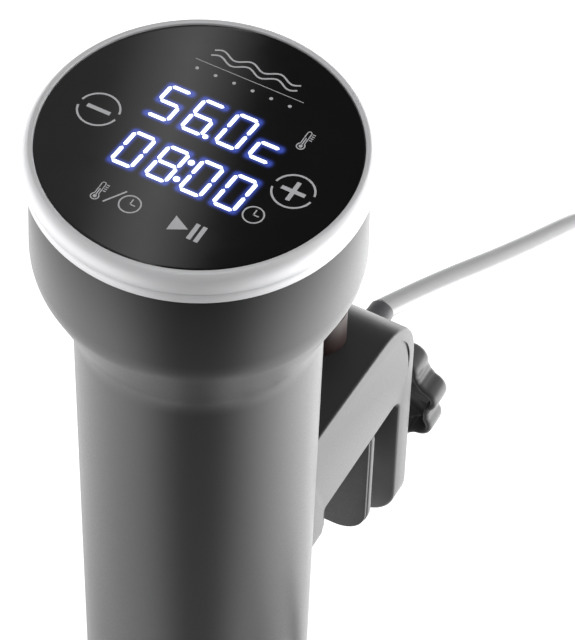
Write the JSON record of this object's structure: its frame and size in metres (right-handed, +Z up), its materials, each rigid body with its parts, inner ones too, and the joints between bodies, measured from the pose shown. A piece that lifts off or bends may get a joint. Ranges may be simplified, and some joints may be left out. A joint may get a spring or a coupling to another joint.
{
  "type": "immersion circulator",
  "caption": "Stick-shaped water heater and circulator with a round touch display, a screw clamp for a pot's rim, a slotted steel skirt with a pump inside, and a mains cord.",
  "frame": {"origin": "centre of the bottom cap's flat underside, on the axis of the round body", "axes": "+Z up along the body, +Y towards the pot clamp and the cord, -Y towards the display's reading edge, +X to the reader's right"},
  "size_m": [0.162, 0.2591, 0.4005],
  "materials": {
    "touch_glass": "black glass-like touch panel, mirror gloss",
    "satin_aluminium": "satin brushed, circular grain",
    "housing_plastic": "satin anthracite with a fine texture",
    "clamp_plastic": "satin dark grey",
    "grip_rubber": "matte",
    "knob_plastic": "satin grey",
    "stainless": "brushed along the tube",
    "bright_steel": "polished",
    "heater_steel": "dull, slightly heat tinted",
    "brass": "machined",
    "inner_plastic": "matte natural",
    "black_plastic": "matte",
    "board": "solder-mask green",
    "film": "translucent amber film",
    "seal_rubber": "matte",
    "motor_steel": "plated",
    "component": "moulded",
    "cord_rubber": "satin"
  },
  "bodies": {
    "housing": {"glass_touch_panel": "touch_glass", "touch_film": "film", "glass_gasket": "seal_rubber", "bezel_ring": "satin_aluminium", "display_carrier": "black_plastic", "display_board": "board", "led_display_module": "black_plastic", "sounder": "black_plastic", "upper_housing": "housing_plastic", "inner_frame": "inner_plastic", "power_board": "board", "transformer": "component", "relay": "component", "capacitors": "component", "motor": "motor_steel", "motor_mount": "inner_plastic", "upper_bearing": "bright_steel", "shaft_seal": "seal_rubber", "lower_bearing": "bright_steel", "shaft_tube": "stainless", "heater_flange": "stainless", "flange_seal": "seal_rubber", "heater_coil": "heater_steel", "temperature_probe": "bright_steel", "level_rods": "bright_steel", "pump_housing": "black_plastic", "clamp_bracket": "clamp_plastic", "saddle_pad": "grip_rubber", "neck_block": "clamp_plastic", "thread_insert": "brass", "bracket_screws": "bright_steel", "strain_relief": "cord_rubber", "cord_lead": "cord_rubber", "cord_coil": "cord_rubber", "cord_tail": "cord_rubber", "plug_body": "cord_rubber", "plug_pins": "bright_steel"},
    "rotor": {"drive_shaft": "bright_steel", "shaft_coupling": "inner_plastic", "cooling_fan": "inner_plastic", "impeller": "black_plastic"},
    "skirt": {"skirt_tube": "stainless"},
    "cap": {"bottom_cap": "black_plastic"},
    "jaw": {"jaw_plate": "clamp_plastic", "jaw_pad": "grip_rubber"},
    "screw": {"clamp_screw": "bright_steel", "clamp_knob": "knob_plastic", "knob_cap": "clamp_plastic"}
  },
  "joints": [
    {"name": "pump_spin", "type": "hinge", "parent": "housing", "child": "rotor", "pos_m": [0, 0, 0.2], "axis": [0, 0, 1], "continuous": true},
    {"name": "skirt_slide", "type": "slide", "parent": "housing", "child": "skirt", "axis": [0, 0, -1], "range_m": [0, 0.175]},
    {"name": "cap_twist", "type": "hinge", "parent": "skirt", "child": "cap", "pos_m": [0, 0, 0.007], "axis": [0, 0, 1], "range_deg": [0, 30]},
    {"name": "jaw_slide", "type": "slide", "parent": "housing", "child": "jaw", "axis": [0, -1, 0], "range_m": [-0.008, 0.0095]},
    {"name": "knob_turn", "type": "hinge", "parent": "jaw", "child": "screw", "pos_m": [0, 0.1, 0.1822], "axis": [0, -1, 0], "range_deg": [-1445, 1715]}
  ],
  "couplings": [
    {"joint": "knob_turn", "follows": "jaw_slide", "rad_per_m": 3141.6}
  ]
}
